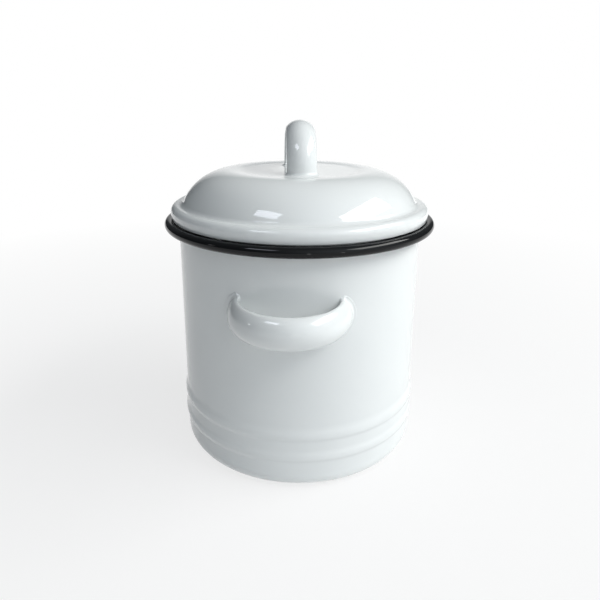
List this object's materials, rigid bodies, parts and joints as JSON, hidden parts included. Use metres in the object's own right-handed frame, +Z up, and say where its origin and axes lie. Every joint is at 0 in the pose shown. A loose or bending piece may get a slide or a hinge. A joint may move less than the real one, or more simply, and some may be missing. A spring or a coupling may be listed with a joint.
{
  "type": "bacon grease container",
  "caption": "Enamelled steel grease pot with a black rolled rim, strap handles, domed lift-off lid and a lift-out strainer in its mouth.",
  "frame": {"origin": "middle of the footprint, on the surface the pot stands on", "axes": "+Z up the pot's axis, -Y the front face, the side handles at -X and +X"},
  "size_m": [0.1644, 0.1338, 0.164],
  "materials": {
    "white_enamel": "glossy vitreous enamel, slightly cool white",
    "black_enamel": "glossy black vitreous enamel",
    "stainless": "brushed stainless steel sheet",
    "stainless_wire": "fine stainless steel sieve"
  },
  "bodies": {
    "pot": {"pot_shell": "white_enamel", "pot_rim": "black_enamel", "left_handle": "white_enamel", "right_handle": "white_enamel"},
    "strainer": {"strainer_frame": "stainless", "strainer_mesh": "stainless_wire", "strainer_hoop": "stainless"},
    "lid": {"lid_shell": "white_enamel", "lid_collar": "white_enamel", "lid_handle": "white_enamel"}
  },
  "joints": [
    {"name": "strainer_lift", "type": "slide", "parent": "pot", "child": "strainer", "axis": [0, 0, 1], "range_m": [0, 0.12]},
    {"name": "lid_lift", "type": "slide", "parent": "strainer", "child": "lid", "axis": [0, 0, 1], "range_m": [0, 0.1]}
  ]
}
